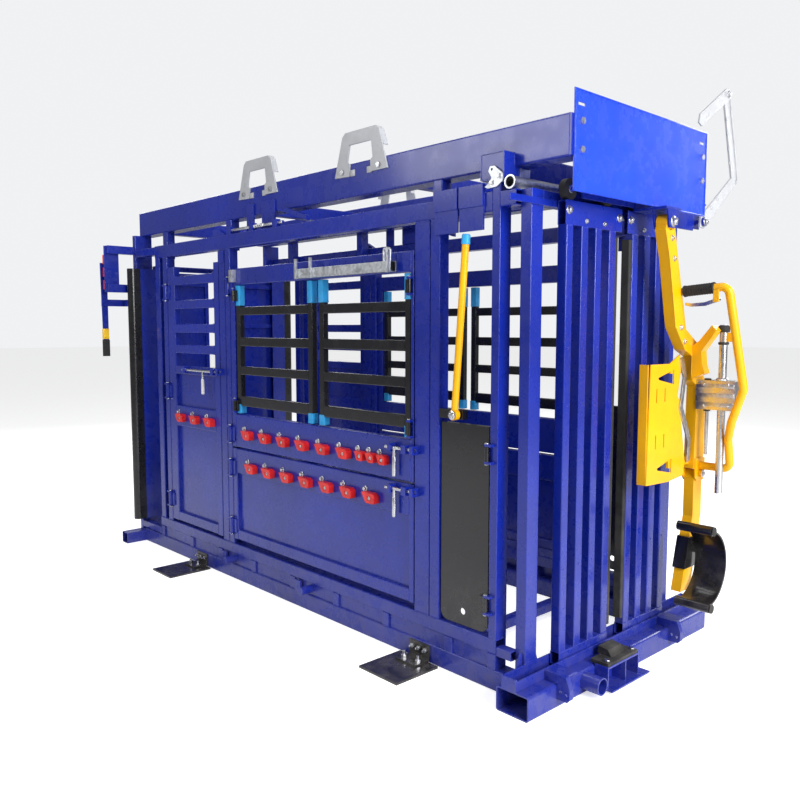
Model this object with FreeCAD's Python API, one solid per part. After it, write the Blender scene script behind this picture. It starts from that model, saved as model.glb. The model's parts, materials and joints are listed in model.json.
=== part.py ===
import FreeCAD, Part
import math, os

# Cattle squeeze chute. Millimetres, +X is the head (exit) end, +Y is the far
# side, +Z is up, Z = 0 is the ground.
V = FreeCAD.Vector
os.makedirs("parts", exist_ok=True)

# ---------------------------------------------------------------- dimensions
OX, OY = -127.9, -97.0         # moves the layout frame onto the row origin
HALF_W = 594.0               # outer face of either side frame from the centre
POST_D = 60.0                # depth of the side frame members along Y
Z_CROSS = 100.0              # head cross tube height
Z_SKID = 90.0                # long skid tube height
Z_SILL0, Z_SILL1 = 155.0, 218.0
Z_RAIL0, Z_RAIL1 = 1960.0, 2040.0
Z_BEAM0, Z_BEAM1 = 2135.0, 2295.0
X_TAIL, X_HEAD = -1785.0, 1785.0
WALL = 4.0                   # hollow section wall
PIN_R, PIN_FIT = 6.0, 0.08   # hinge pin radius and its running clearance
GATE_X0, GATE_X1 = 1665.0, 1710.0
DOOR_GAP = 4.0

nodes = {}
env = []                     # envelopes of the welded frame members


def box(x0, x1, y0, y1, z0, z1):
    return Part.makeBox(x1 - x0, y1 - y0, z1 - z0, V(x0, y0, z0))


def cyl(p, d, r, h):
    return Part.makeCylinder(r, h, V(*p), V(*d))


def ring(p, d, ro, ri, h):
    return cyl(p, d, ro, h).cut(cyl((p[0] - d[0], p[1] - d[1], p[2] - d[2]), d, ri, h + 2))


def mir(s):
    return s.mirror(V(0, 0, 0), V(0, 1, 0))


def solids(s):
    if isinstance(s, (list, tuple)):
        out = []
        for q in s:
            out += solids(q)
        return out
    return list(s.Solids)


def add(name, *shapes):
    nodes.setdefault(name, [])
    for s in shapes:
        nodes[name] += solids(s)


def rrect(w, h, r):
    """Closed wire, rounded rectangle w by h in XY from (0, 0)."""
    if r <= 0.01:
        return Part.makePolygon([V(0, 0, 0), V(w, 0, 0), V(w, h, 0), V(0, h, 0), V(0, 0, 0)])
    k = r * (1 - math.sqrt(0.5))
    e = [Part.makeLine(V(r, 0, 0), V(w - r, 0, 0)),
         Part.Arc(V(w - r, 0, 0), V(w - k, k, 0), V(w, r, 0)).toShape(),
         Part.makeLine(V(w, r, 0), V(w, h - r, 0)),
         Part.Arc(V(w, h - r, 0), V(w - k, h - k, 0), V(w - r, h, 0)).toShape(),
         Part.makeLine(V(w - r, h, 0), V(r, h, 0)),
         Part.Arc(V(r, h, 0), V(k, h - k, 0), V(0, h - r, 0)).toShape(),
         Part.makeLine(V(0, h - r, 0), V(0, r, 0)),
         Part.Arc(V(0, r, 0), V(k, k, 0), V(r, 0, 0)).toShape()]
    return Part.Wire(e)


def tube(axis, x0, x1, y0, y1, z0, z1, t=WALL, r=5.0):
    """Rectangular hollow section along axis, rounded edges, open ends."""
    if axis == "x":
        L, w, h = x1 - x0, y1 - y0, z1 - z0
        pl = FreeCAD.Placement(V(x0, y0, z0), FreeCAD.Rotation(V(0, 1, 0), V(0, 0, 1), V(1, 0, 0), "ZXY"))
    elif axis == "y":
        L, w, h = y1 - y0, z1 - z0, x1 - x0
        pl = FreeCAD.Placement(V(x0, y0, z0), FreeCAD.Rotation(V(0, 0, 1), V(1, 0, 0), V(0, 1, 0), "ZXY"))
    else:
        L, w, h = z1 - z0, x1 - x0, y1 - y0
        pl = FreeCAD.Placement(V(x0, y0, z0), FreeCAD.Rotation())
    r = min(r, w / 2.2, h / 2.2)
    o = Part.Face(rrect(w, h, r)).extrude(V(0, 0, L))
    if t > 0:
        i = Part.Face(rrect(w - 2 * t, h - 2 * t, max(r - t, 0))).extrude(V(0, 0, L + 2))
        i.translate(V(t, t, -1))
        o = o.cut(i)
    o.Placement = pl
    return o


def member(axis, x0, x1, y0, y1, z0, z1, t=WALL, r=5.0, both=True):
    """Frame member and its mirror image, cut back by what is already there."""
    out = []
    for side in ((0, 1) if both else (0,)):
        a, b = (y0, y1) if side == 0 else (-y1, -y0)
        s = tube(axis, x0, x1, a, b, z0, z1, t, r)
        e = box(x0, x1, a, b, z0, z1)
        for q in env:
            bb = q.BoundBox
            if (bb.XMin < x1 - .01 and bb.XMax > x0 + .01 and bb.YMin < b - .01 and bb.YMax > a + .01
                    and bb.ZMin < z1 - .01 and bb.ZMax > z0 + .01):
                s = s.cut(q)
        env.append(e)
        out += [q for q in s.Solids if q.Volume > 500]
    return out


def plate(axis, pts, a0, a1):
    """Flat plate: polygon pts in the two other axes, extruded a0..a1."""
    if axis == "x":
        w = [V(a0, p, q) for p, q in pts]
        d = V(a1 - a0, 0, 0)
    elif axis == "y":
        w = [V(p, a0, q) for p, q in pts]
        d = V(0, a1 - a0, 0)
    else:
        w = [V(p, q, a0) for p, q in pts]
        d = V(0, 0, a1 - a0)
    return Part.Face(Part.makePolygon(w + [w[0]])).extrude(d)


def bent(points, r, bend, ri=0.0):
    """Round bar or tube bent along points."""
    P = [V(*p) for p in points]
    e, last = [], P[0]
    for i in range(1, len(P) - 1):
        a = (P[i - 1] - P[i]).normalize()
        b = (P[i + 1] - P[i]).normalize()
        half = a.getAngle(b) / 2
        d = bend / math.tan(half)
        p, q = P[i] + a * d, P[i] + b * d
        bis = (a + b).normalize()
        m = P[i] + bis * (bend / math.sin(half) - bend)
        e += [Part.makeLine(last, p), Part.Arc(p, m, q).toShape()]
        last = q
    e.append(Part.makeLine(last, P[-1]))
    path = Part.Wire(e)
    d = (P[1] - P[0]).normalize()

    def sweep(rr):
        return path.makePipeShell([Part.Wire([Part.makeCircle(rr, P[0], d)])], True, True)
    s = sweep(r)
    if ri > 0:
        s = s.cut(sweep(ri))
    return s


def hexhead(p, d, af, h):
    """Hexagon head, axis d = unit axis vector, across flats af."""
    R = af / math.sqrt(3)
    ax = [abs(c) for c in d].index(1)
    pts = []
    for k in range(6):
        u, v = R * math.cos(k * math.pi / 3), R * math.sin(k * math.pi / 3)
        q = [p[0], p[1], p[2]]
        o = [i for i in range(3) if i != ax]
        q[o[0]] += u
        q[o[1]] += v
        pts.append(V(*q))
    return Part.Face(Part.makePolygon(pts + [pts[0]])).extrude(V(*d) * h)


def hinge(hx, hy, z, h, fx, fy, dx, dy, R=11.0):
    """Vertical-pin hinge at (hx, hy), barrel z..z+h.
    fx = (x0, x1), fy = (y0, y1): frame lug footprint (pin passes through it);
    dx, dy: door leaf footprint. Returns (frame shape, door shape)."""
    pin = cyl((hx, hy, z - 12), (0, 0, 1), PIN_R, h + 24)
    lug = [box(fx[0], fx[1], fy[0], fy[1], zz, zz + 10) for zz in (z - 11, z + h + 1)]
    f = pin.fuse(lug)
    leaf = box(dx[0], dx[1], dy[0], dy[1], z, z + h)
    d = cyl((hx, hy, z), (0, 0, 1), R, h).fuse(leaf)
    d = d.cut(cyl((hx, hy, z - 1), (0, 0, 1), PIN_R + PIN_FIT, h + 2))
    return f, d


def stop_block(x, z, y, w=90.0, h=50.0, d=34.0):
    """Moulded stop block on an outer face at plane y, leaning profile."""
    s = plate("y", [(x, z + h), (x + w * 0.80, z + h), (x + w, z + h - 10), (x + w, z + 5),
                    (x + w * 0.92, z), (x + w * 0.40, z), (x + w * 0.30, z + 6)], y - d, y)
    return s.cut(cyl((x + w * 0.58, y - d - 1, z + h * 0.48), (0, 1, 0), 11, 9))


def slide_bolt(x0, x1, y, z, xh, drop, r=8.0):
    """Sliding bolt rod x0..x1 with a hanging handle at xh."""
    rod = cyl((x0, y, z), (1, 0, 0), r, x1 - x0)
    h = cyl((xh, y, z - drop), (0, 0, 1), r * 0.95, drop)
    return rod.fuse(h)


def guide(x0, x1, y_face, y_rod, z, r=8.0, gap=0.5):
    """Guide eye on a face at y_face around a rod at y_rod."""
    b = box(x0, x1, y_rod - 17, y_face, z - 19, z + 19)
    return b.cut(cyl((x0 - 1, y_rod, z), (1, 0, 0), r + gap, x1 - x0 + 2))


YO, YI = -HALF_W, -HALF_W + POST_D      # near side frame, outer and inner face

# ---------------------------------------------------------------- base frame
B = []
B += member("y", 1625, 1785, -709, 709, 0, Z_CROSS, 6, 12, both=False)
B += member("y", -1785, -1701, -730, 730, 0, 75, 4, 6, both=False)
B += member("x", -1701, 1625, YO, YO + 80, 0, Z_SKID, 4, 8)
UPRIGHTS = (-1457, -1060, -700, -330, 60, 440, 820, 1230, 1478)
SILL = member("x", -1457, 1523, YO, YI, Z_SILL0, Z_SILL1, 4, 6)
for x in UPRIGHTS:
    SILL += member("z", x, x + 45, YO, YI, Z_SKID, Z_SILL0, 4, 3)
for xa, xb in zip(UPRIGHTS, UPRIGHTS[1:]):      # kick plates between skid and sill
    k = box(xa + 45, xb, YO + 10, YO + 14, Z_SKID, Z_SILL0)
    SILL += [k, mir(k)]
for xa, xb in ((-1287, -632), (-512, 1040)):    # flat stops behind the bottom edge of the tail and lower doors
    k = box(xa, xb, YO + 47, YO + 53, Z_SILL1, Z_SILL1 + 44)
    SILL += [k, mir(k)]
for s in (1, -1):                        # short round stubs above the skid
    for x in (-640.0, 120.0):
        y0 = s * (HALF_W + 60)
        SILL.append(cyl((x + 120, y0, 122), (0, -s, 0), 21, 70))
        SILL.append(box(x, x + 50, min(s * (HALF_W + 12), s * HALF_W), max(s * (HALF_W + 12), s * HALF_W), 84, 150))
for x0, x1 in ((-900, -850), (300, 350), (1100, 1150)):
    B += member("y", x0, x1, YO + 80, -YO - 80, 20, 70, 4, 5, both=False)
add("base_frame", B)
add("base_frame", SILL)

# feet
for s in (-1, 1):
    for x0, x1, yo in ((960, 1205, 856), (-1010, -780, 878)):
        a, b = sorted((s * yo, s * 606))
        add("foot_plates", box(x0, x1, a, b, 0, 10))
        a, b = sorted((s * 690, s * HALF_W))
        v0, v1 = sorted((s * (HALF_W + 8), s * HALF_W))
        c = (x0 + x1) / 2
        ang = box(c - 62, c + 62, a, b, 10, 18).fuse(box(c - 62, c + 62, v0, v1, 10, 84)).removeSplitter()
        add("foot_brackets", ang)
        for dx in (-42, 0, 42):
            y1 = s * (HALF_W + 8)
            add("frame_fasteners", hexhead((c + dx, y1, 58), (0, s, 0), 19, 10).fuse(
                cyl((c + dx, y1, 58), (0, s, 0), 5, 22)))
        for dx in (-45, 45):
            add("frame_fasteners", hexhead((c + dx, s * 655, 18), (0, 0, 1), 24, 12).fuse(
                cyl((c + dx, s * 655, 18), (0, 0, 1), 7, 30)))

# ---------------------------------------------------------------- side frames
P = []
P += member("z", -1450, -1390, YO, YI, Z_SILL1, Z_RAIL0)          # tail post
P += member("z", -1345, -1287, YO, YI, Z_SILL1, Z_RAIL0)          # tail door hinge post
P += member("z", -632, -566, YO, YI, Z_SILL1, Z_RAIL0)            # tail door strike post
P += member("z", -562, -512, YO, YI, Z_SILL1, Z_RAIL0)            # window hinge post
P += member("z", 1040, 1132, YO, YI, Z_SILL1, Z_RAIL0)            # window strike post
P += member("z", 1136, 1192, YO, YI, Z_SILL1, Z_RAIL0)            # shoulder post
P += member("z", 1482, 1523, YO, YO + 70, Z_SKID, 2082, 4, 4)     # head corner post
P += member("z", -1785, -1745, YO, -470, 75, Z_BEAM0, 4, 5)       # tail frame post
add("side_frames", P)

R = []
R += member("x", -1450, 1482, YO, YI, Z_RAIL0, Z_RAIL1, 4, 6)
for x in (-1450, -640, 1090):
    R += member("z", x, x + 56, YI, YI + 60, Z_RAIL0, Z_BEAM0, 4, 5)
for xa, xb in ((1170, 1302), (1312, 1442)):                            # folded rail covers
    for f in (lambda q: q, mir):
        R.append(f(box(xa, xb, YO - 8, YO, 1892, 2072).fuse(box(xa, xb, YO - 14, YO - 8, 1986, 2072)).removeSplitter()))
for xa, xb in ((-400, -330), (-244, -120)):                            # clamp plates, beam to rail
    for f in (lambda q: q, mir):
        R.append(f(box(xa, xb, YI - 6, -530, Z_RAIL1, 2200)))
R += member("x", -1745, -1450, YO, YI, 1985, 2035, 4, 4)
R += member("x", -1745, -1457, YO, YO + 50, 95, 140, 4, 4)
# slanted brace from the beam down to the rail
for f in (lambda q: q, mir):
    R.append(f(plate("y", [(-60, Z_BEAM0), (20, Z_BEAM0), (330, Z_RAIL1), (250, Z_RAIL1)],
                     YI - 30, YI - 6).common(box(-600, 200, -700, 700, Z_RAIL1, Z_BEAM0))))
    R.append(f(plate("y", [(-700, 2081), (-640, 2081), (-560, Z_RAIL1), (-700, Z_RAIL1)], YO + 4, YO + 30)))
add("side_frames", R)

# ---------------------------------------------------------------- top
T = []
T += member("y", 1418, 1540, YO, -YO, 2082, 2190, 5, 8, both=False)       # head cross box
T += member("x", -1800, 1795, -530, -430, Z_BEAM0, Z_BEAM1, 5, 8)
T += member("y", -1790, -1730, -430, 430, 2160, 2260, 4, 6, both=False)
for y0 in (-592, 588):                    # plugs in the ends of the head cross box
    T.append(box(1424, 1534, y0, y0 + 4, 2088, 2184))
for x in (-600, 700):
    T += member("y", x, x + 60, -430, 430, 2180, 2260, 4, 6, both=False)
add("top_beams", T)

# lifting lugs, one folded arch each, bolted flat on the beam's outer face
for f in (lambda q: q, mir):
    for c in (-290.0, 605.0):
        a = plate("y", [(c - 195, 2236), (c - 84, 2232), (c - 80, 2290), (c - 98, 2300), (c - 80, 2380),
                        (c + 80, 2380), (c + 90, 2300), (c + 74, 2290), (c + 74, 2236), (c + 195, 2236),
                        (c + 134, 2424), (c + 112, 2442), (c - 112, 2442), (c - 134, 2424)], -538, -530)
        for dx in (-134, 134):
            a = a.cut(cyl((c + dx, -539, 2258), (0, 1, 0), 7, 12))
        lip = plate("y", [(c - 160, 2350), (c - 154, 2350), (c - 130, 2421), (c - 110, 2436), (c + 110, 2436),
                          (c + 130, 2421), (c + 154, 2350), (c + 160, 2350), (c + 134, 2424), (c + 112, 2442),
                          (c - 112, 2442), (c - 134, 2424)], -530, -502)
        add("lifting_lugs", f(a.fuse(lip).removeSplitter()))
        for dx in (-134, 134):
            b = hexhead((c + dx, -538, 2258), (0, -1, 0), 24, 10).fuse(cyl((c + dx, -530.0, 2258), (0, -1, 0), 6.5, 8))
            add("frame_fasteners", f(b))

# sign board, blank
SG = plate("x", [(-515, 2010), (515, 2010), (515, 2385), (-515, 2385)], 1804, 1808)
for s in (-1, 1):
    for z in (2165, 2270):
        SG = SG.cut(cyl((1803, s * 470, z), (1, 0, 0), 7, 6))
    SG = SG.cut(box(1803, 1809, s * 470 - 22, s * 470 + 22, 2325, 2337))
add("sign_board", SG)
for s in (-1, 1):
    br = box(1795, 1804, s * 480 - 48, s * 480 + 48, 2140, 2292)
    add("head_frame", br)
    for z in (2165, 2270):
        add("frame_fasteners", hexhead((1808, s * 470, z), (1, 0, 0), 24, 10).fuse(
            cyl((1804.0, s * 470, z), (1, 0, 0), 6, 4)))

# ---------------------------------------------------------------- head frame
H = []
H += member("z", 1600, 1652, -562, -488, Z_CROSS, 2035, 4, 4)
H += member("y", 1612, 1652, -488, 488, 1975, 2035, 4, 4, both=False)
H += member("x", 1523, 1600, YO, YO + 50, 1975, 2035, 4, 4)
H += member("x", 1523, 1600, YO + 4, YO + 50, 150, 190, 4, 4)
# track: guides in front of and behind the sliding panels, top and bottom
H += [box(1652, 1660, -700, -300, 1975, 2000), box(1652, 1660, -300, 700, 1975, 2095),
      box(1715, 1723, -330, 330, 2012, 2087), box(1660, 1723, -300, 700, 2087, 2095),
      box(1652, 1660, -700, 700, Z_CROSS, 150), box(1715, 1723, -700, 700, Z_CROSS, 140)]
for s in (-1, 1):
    g = plate("x", [(s * 488, Z_CROSS), (s * 488, 190), (s * 480, 190), (s * 448, 108), (s * 448, Z_CROSS)], 1628, 1636)
    H.append(g)
    g = plate("x", [(s * 562, Z_CROSS), (s * 562, 190), (s * 570, 190), (s * 606, 108), (s * 606, Z_CROSS)], 1628, 1636)
    H.append(g)
    # folded bracket at the foot of the front, a cheek with two holes and a lip
    yb = -530.0 if s < 0 else 342.0
    f = plate("y", [(1723, Z_CROSS), (1785, Z_CROSS), (1785, 40), (1834, 40), (1846, 52), (1846, 92), (1828, 140), (1723, 140)],
              yb, yb + 6)
    f = f.cut(cyl((1804, yb - 1, 74), (0, 1, 0), 6, 8)).cut(cyl((1830, yb - 1, 68), (0, 1, 0), 6, 8))
    f = f.fuse(plate("y", [(1840, 52), (1846, 52), (1846, 92), (1828, 140), (1822, 140), (1840, 90)], yb + 6, yb + 24))
    f = f.fuse(plate("x", [(yb + 6, 134), (yb + 84, 134), (yb + 84, 140), (yb + 6, 140)], 1723, 1822))
    H.append(f.removeSplitter())
    H.append(box(1652, 1723, min(s * 700, s * 709), max(s * 700, s * 709), Z_CROSS, 150))
H.append(ring((1785, -335, 56), (1, 0, 0), 36, 31, 85))
H.append(box(1785, 1850, -266, -260, 14, 100).fuse([box(1785, 1850, -266, -28, 100, 108), box(1785, 1872, -266, 30, 8, 14),
                                                    box(1785, 1850, -134, -128, 14, 100), box(1785, 1850, -34, -28, 14, 100)]).removeSplitter())
add("head_frame", H)
bump = Part.makeBox(86, 226, 14, V(1762, -262, 108.0)).fuse(
    plate("y", [(1750, 122), (1818, 122), (1800, 148), (1754, 156)], -192, -92)).removeSplitter()
add("bump_stop", bump)
for y in (-240, -52):
    add("frame_fasteners", hexhead((1828, y, 122), (0, 0, 1), 22, 9))

# galvanised operating shaft across the head end and its end plate
add("cross_pipe", ring((1572, -598, 2064), (0, 1, 0), 24, 20, 1170),
    plate("y", [(1447, 2058), (1462, 2050), (1509, 2052), (1538, 2070), (1541, 2100), (1497, 2134), (1474, 2134),
                (1466, 2116), (1482, 2092), (1478, 2074)], -602, -594).cut(cyl((1484, -603, 2122), (0, 1, 0), 5, 10)))
for s in (-1, 1):
    add("cross_pipe", box(1540, 1546, s * 470 - 30, s * 470 + 30, 2040, 2130).cut(cyl((1572, s * 470 - 40, 2064), (0, 1, 0), 27, 80)))
    add("cross_pipe", box(1546, 1590, s * 470 - 12, s * 470 + 12, 2040, 2084).cut(cyl((1572, s * 470 - 40, 2064), (0, 1, 0), 24, 80)))

# latch hardware along the rail
LH = []
for x in (-540, -300, -70):
    LH.append(box(x, x + 36, YO + 4, YO + 34, Z_RAIL1, Z_RAIL1 + 42).cut(cyl((x - 1, YO + 19, Z_RAIL1 + 22), (1, 0, 0), 8, 40)))
LH.append(cyl((-556, YO + 19, Z_RAIL1 + 22), (1, 0, 0), 8, 570))
LH.append(box(-628, -570, YO - 6, YO, 1880, 1950))
add("door_fixings", LH)

# keeper eyes for the slide bolts, on the strike posts
K = []
DB = [(-566 - 60, 1238), (1046, 953), (1046, 760)]       # (x, z)
for x, z in ((-626, 1238), (1046, 957), (1046, 768)):
    k = guide(x, x + 20, YO, YO - 22, z, 8.0, 3.0)
    K += [k, mir(k)]
add("door_fixings", K)

# ---------------------------------------------------------------- doors
HP = []                                                  # hinge lugs and pins on the frame


def far(name, shapes):
    add("far_" + name, [mir(q) for q in solids(shapes)])


def door_pair(name, shapes):
    add("near_" + name, shapes)
    far(name, shapes)


DY0, DY1 = YO, YO + 44
# tail (palpation) door
x0, x1, z0, z1 = -1283.0, -638.0, 236.0, 1890.0
D = [tube("z", x0, x0 + 88, DY0, DY1, z0, z1), tube("z", x1 - 58, x1, DY0, DY1, z0, z1)]
xa, xb = x0 + 88, x1 - 58
D += [tube("x", xa, xb, DY0, DY1, z0, z0 + 60), tube("x", xa, xb, DY0, DY1, 868, 1000)]
D.append(box(xa, xb, DY0 + 20, DY0 + 24, z0 + 60, 868))
for a, b in ((1207, 1258), (1340, 1392), (1471, 1524), (1622, 1675), (1773, 1828)):
    D.append(tube("x", xa, xb, DY0, DY1 - 6, a, b, 3, 4))
D.append(box(xa, xb, DY0 + 22, DY0 + 26, 1000, 1207))
for zc in (330, 1050, 1690):
    f, d = hinge(x0 - 6, YO - 12, zc, 80, (x0 - 34, x0 - 0.5), (YO - 22, YO), (x0 - 2, x0 + 34), (YO - 8, YO))
    HP += [f, mir(f)]
    D.append(d)
D += [guide(-1035, -1015, YO, YO - 22, 1238), guide(-690, -660, YO, YO - 22, 1238)]
door_pair("tail_door", D)
add("near_tail_blocks", [stop_block(x, 900, YO) for x in (-1160, -980, -800)])
SB = slide_bolt(-1060, -636, YO - 22, 1238, -808, 140)
SBF = slide_bolt(-1060, -636, YO - 22, 1238, -808, 140)
add("near_tail_bolt", SB)
far("tail_bolt", SBF)

# upper window door
x0, x1, z0, z1 = -508.0, 1034.0, 806.0, 1840.0
D = [tube("z", x0, x0 + 44, DY0, DY1, z0, z1), tube("z", x1 - 18, x1, DY0, DY1, z0, z1, 3, 3)]
xa, xb = x0 + 44, x1 - 18
D += [tube("x", xa, xb, DY0, DY1, z0, 1000), tube("x", xa, xb, DY0, DY1, 1747, z1)]
for zc in (840, 1700):
    f, d = hinge(x0 - 6, YO - 12, zc, 80, (x0 - 34, x0 - 0.5), (YO - 22, YO), (x0 - 2, x0 + 36), (YO - 8, YO))
    HP += [f, mir(f)]
    D.append(d)
D += [guide(900, 918, YO, YO - 22, 957), guide(990, 1020, YO, YO - 22, 957)]
# pins and lugs that carry the two grille doors
GH = []
GD = [[], []]
for zc in (1020, 1655):
    f, d = hinge(-457, YO - 12, zc, 60, (-471, -451.5), (YO - 22, YO), (-453, -428), (YO - 8, YO + 4), 9)
    GH.append(f)
    GD[0].append(d)
    f, d = hinge(1017.5, YO - 12, zc, 60, (1009, 1033), (YO - 22, YO), (988, 1013), (YO - 8, YO + 4), 9)
    GH.append(f)
    GD[1].append(d)
D += GH
door_pair("window_door", D)
add("near_window_blocks", [stop_block(x, 862, YO) for x in (-367, -191, -14, 160, 335, 508)],
    [stop_block(x, 868, YO, 58, 44) for x in (655, 735, 815)])
SB = slide_bolt(870, 1036, YO - 22, 957, 930, 130)
add("near_window_bolt", SB)
far("window_bolt", SB)
# slide rail and catches above the grilles (near side)
C = []
C.append(tube("x", 190, 925, YO - 40, YO - 4, 1752, 1800, 3, 3))
for x in (205, 330, 905):
    C.append(box(x, x + 14, YO - 52, YO - 40, 1748, 1850))
C += [box(x, x + 16, YO - 4, YO, 1760, 1796) for x in (240, 560, 880)]
C.append(box(-470, -440, YO - 30, YO, 1762, 1832))
C.append(bent([(860, YO - 22, 1800), (860, YO - 22, 1858), (905, YO - 22, 1858), (905, YO - 22, 1800)], 5, 12))
add("grille_catches", C)

GB = ((1050, 1108), (1232, 1280), (1396, 1446), (1573, 1620))
for i, (a, b) in enumerate(((-450, 278), (337, 1009))):
    w = 36
    G = [tube("z", a, a + w, YO + 4, YO + 38, 1006, 1742, 3, 4), tube("z", b - w, b, YO + 4, YO + 38, 1006, 1742, 3, 4)]
    for p, q in GB:
        G.append(tube("x", a + w, b - w, YO + 4, YO + 34, p, q, 3, 4))
    G += GD[i]
    door_pair("grille_" + ("tail", "head")[i], G)

# lower access door
x0, x1, z0, z1 = -508.0, 1034.0, 250.0, 796.0
D = [tube("z", x0, x0 + 44, DY0, DY1, z0, z1), tube("z", x1 - 30, x1, DY0, DY1, z0, z1, 3, 4)]
xa, xb = x0 + 44, x1 - 30
D += [tube("x", xa, xb, DY0, DY1, 650, z1), tube("x", xa, xb, DY0, DY1, z0, z0 + 60)]
D.append(box(xa, xb, DY0 + 18, DY0 + 22, z0 + 60, 650))
for zc in (290, 640):
    f, d = hinge(x0 - 6, YO - 12, zc, 80, (x0 - 34, x0 - 0.5), (YO - 22, YO), (x0 - 2, x0 + 36), (YO - 8, YO))
    HP += [f, mir(f)]
    D.append(d)
D += [guide(900, 918, YO, YO - 22, 768), guide(990, 1020, YO, YO - 22, 768)]
door_pair("lower_door", D)
add("near_lower_blocks", [stop_block(x, 672, YO) for x in (-336, -161, 14, 190, 366, 538, 709)])
SB = slide_bolt(870, 1036, YO - 22, 768, 930, 130)
add("near_lower_bolt", SB)
far("lower_bolt", SB)

# black shoulder panel
x0, x1, z0, z1 = 1200.0, 1470.0, 228.0, 1098.0
s = box(x0, x1, YO + 10, YO + 14, z0, z1)
s = s.makeFillet(40, [e for e in s.Edges if abs(e.BoundBox.YLength - 4) < .1 and e.BoundBox.ZMax < z0 + 1])
SP = [s.cut(cyl((x0 + 130, YO, z0 + 60), (0, 1, 0), 14, 40))]
SP.append(box(x0, x0 + 4, YO + 14, YO + 40, z0 + 40, z1))
SP.append(box(x1 - 4, x1, YO + 14, YO + 40, z0 + 40, z1))
SP.append(box(x0 + 4, x1 - 4, YO + 14, YO + 40, z1 - 4, z1))
for x in (x0 + 80, x0 + 170):
    SP.append(box(x, x + 6, YO + 14, YO + 34, z0 + 120, z1 - 4))
for zc in (330, 960):
    f, d = hinge(x1 + 6, YO - 12, zc, 60, (x1 + 0.5, x1 + 36), (YO - 22, YO), (x1 - 34, x1 + 2), (YO - 8, YO + 10), 10)
    HP += [f, mir(f)]
    SP.append(d)
door_pair("shoulder_panel", SP)
add("door_fixings", HP)

# yellow side lever with its pivot bracket
add("lever_brackets", [box(1192, 1330, YO + 2, YO + 34, 1116, 1156), cyl((1300, YO + 2, 1136), (0, -1, 0), 10, 36)])
L = ring((1300, YO - 30, 1136), (0, 1, 0), 22, 10.08, 26)
a = math.radians(4.6)
d = (math.sin(a), 0, math.cos(a))
t = Part.makeCylinder(15, 725, V(1300 + 21 * d[0], YO - 17, 1136 + 21 * d[2]), V(*d))
t = t.cut(Part.makeCylinder(12, 760, V(1300 + 21 * d[0], YO - 17, 1136 + 21 * d[2]), V(*d)))
L = L.fuse(t.cut(cyl((1300, YO - 40, 1136), (0, 1, 0), 21.99, 60)))
add("side_lever", L)

# ---------------------------------------------------------------- head gate


def gate(wheels, bars, plate_y):
    G = []
    for a, b in bars:
        G.append(tube("z", GATE_X0, GATE_X1, a, b, 170, 1905, 3, 5))
    ya, yb = min(b[0] for b in bars), max(b[1] for b in bars)
    G.append(tube("y", GATE_X0, GATE_X1, ya, yb, 115, 170, 3, 4))
    G.append(tube("y", GATE_X0, GATE_X1 - 6, ya, yb, 1905, 2000, 3, 4))
    G.append(box(GATE_X1 - 6, GATE_X1, plate_y[0], plate_y[1], 1905, 2000))
    for y in wheels:
        G.append(box(1668, 1674, y - 18, y + 18, 2000, 2060).fuse(cyl((1674, y, 2044), (1, 0, 0), 8, 34)))
    return G


add("head_gate_near", gate((-383, -120), ((-413, -368), (-311, -263), (-212, -167), (-110, -62)), (-418, -18)))
add("head_gate_far", gate((120, 383), ((70, 118), (170, 218), (270, 317), (368, 418)), (30, 430)))
for nm, sg in (("near", -1), ("far", 1)):
    for y in (383, 120):
        add("neck_rubber_" + nm, ring((1676, sg * y, 2044), (1, 0, 0), 42, 8, 28))
for nm, y0, y1 in (("near", -62, -40), ("far", 48, 70)):
    r = box(GATE_X0 + 2, GATE_X1 - 2, y0, y1, 200, 1880)
    r = r.makeFillet(6, [e for e in r.Edges if abs(e.BoundBox.ZLength) > 500])
    add("neck_rubber_" + nm, r)

# operating bell crank on the far corner
LV = plate("x", [(690, 1990), (735, 1985), (760, 2005), (1062, 2236), (1072, 2268), (950, 2668), (925, 2682),
                 (898, 2668), (897, 2640), (1010, 2262), (700, 2040)], 1690, 1700)
LV = LV.cut(cyl((1689, 720, 2015), (1, 0, 0), 12.08, 12)).cut(cyl((1689, 925, 2655), (1, 0, 0), 9.08, 12))
add("gate_lever", LV)
LK = plate("x", [(630, 2470), (660, 2458), (930, 2628), (952, 2655), (925, 2682), (900, 2678), (640, 2512)], 1702, 1710)
LK = LK.fuse(cyl((1688, 925, 2655), (1, 0, 0), 9, 15))
add("gate_link", LK)
add("door_fixings", [cyl((1660, 720, 2015), (1, 0, 0), 12, 52), box(1652, 1660, 700, 760, 1985, 2055),
                    cyl((1702, 720, 2015), (1, 0, 0), 22, 10).cut(cyl((1701, 720, 2015), (1, 0, 0), 12, 12))])

# ---------------------------------------------------------------- head restraint
RX0, RX1 = 1812.0, 1862.0


def strip(pairs, a0, a1):
    """Box-section arm: consecutive (left, right) pairs in YZ, butted."""
    return [plate("x", [p[0], p[1], q[1], q[0]], a0, a1) for p, q in zip(pairs, pairs[1:])]


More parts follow.
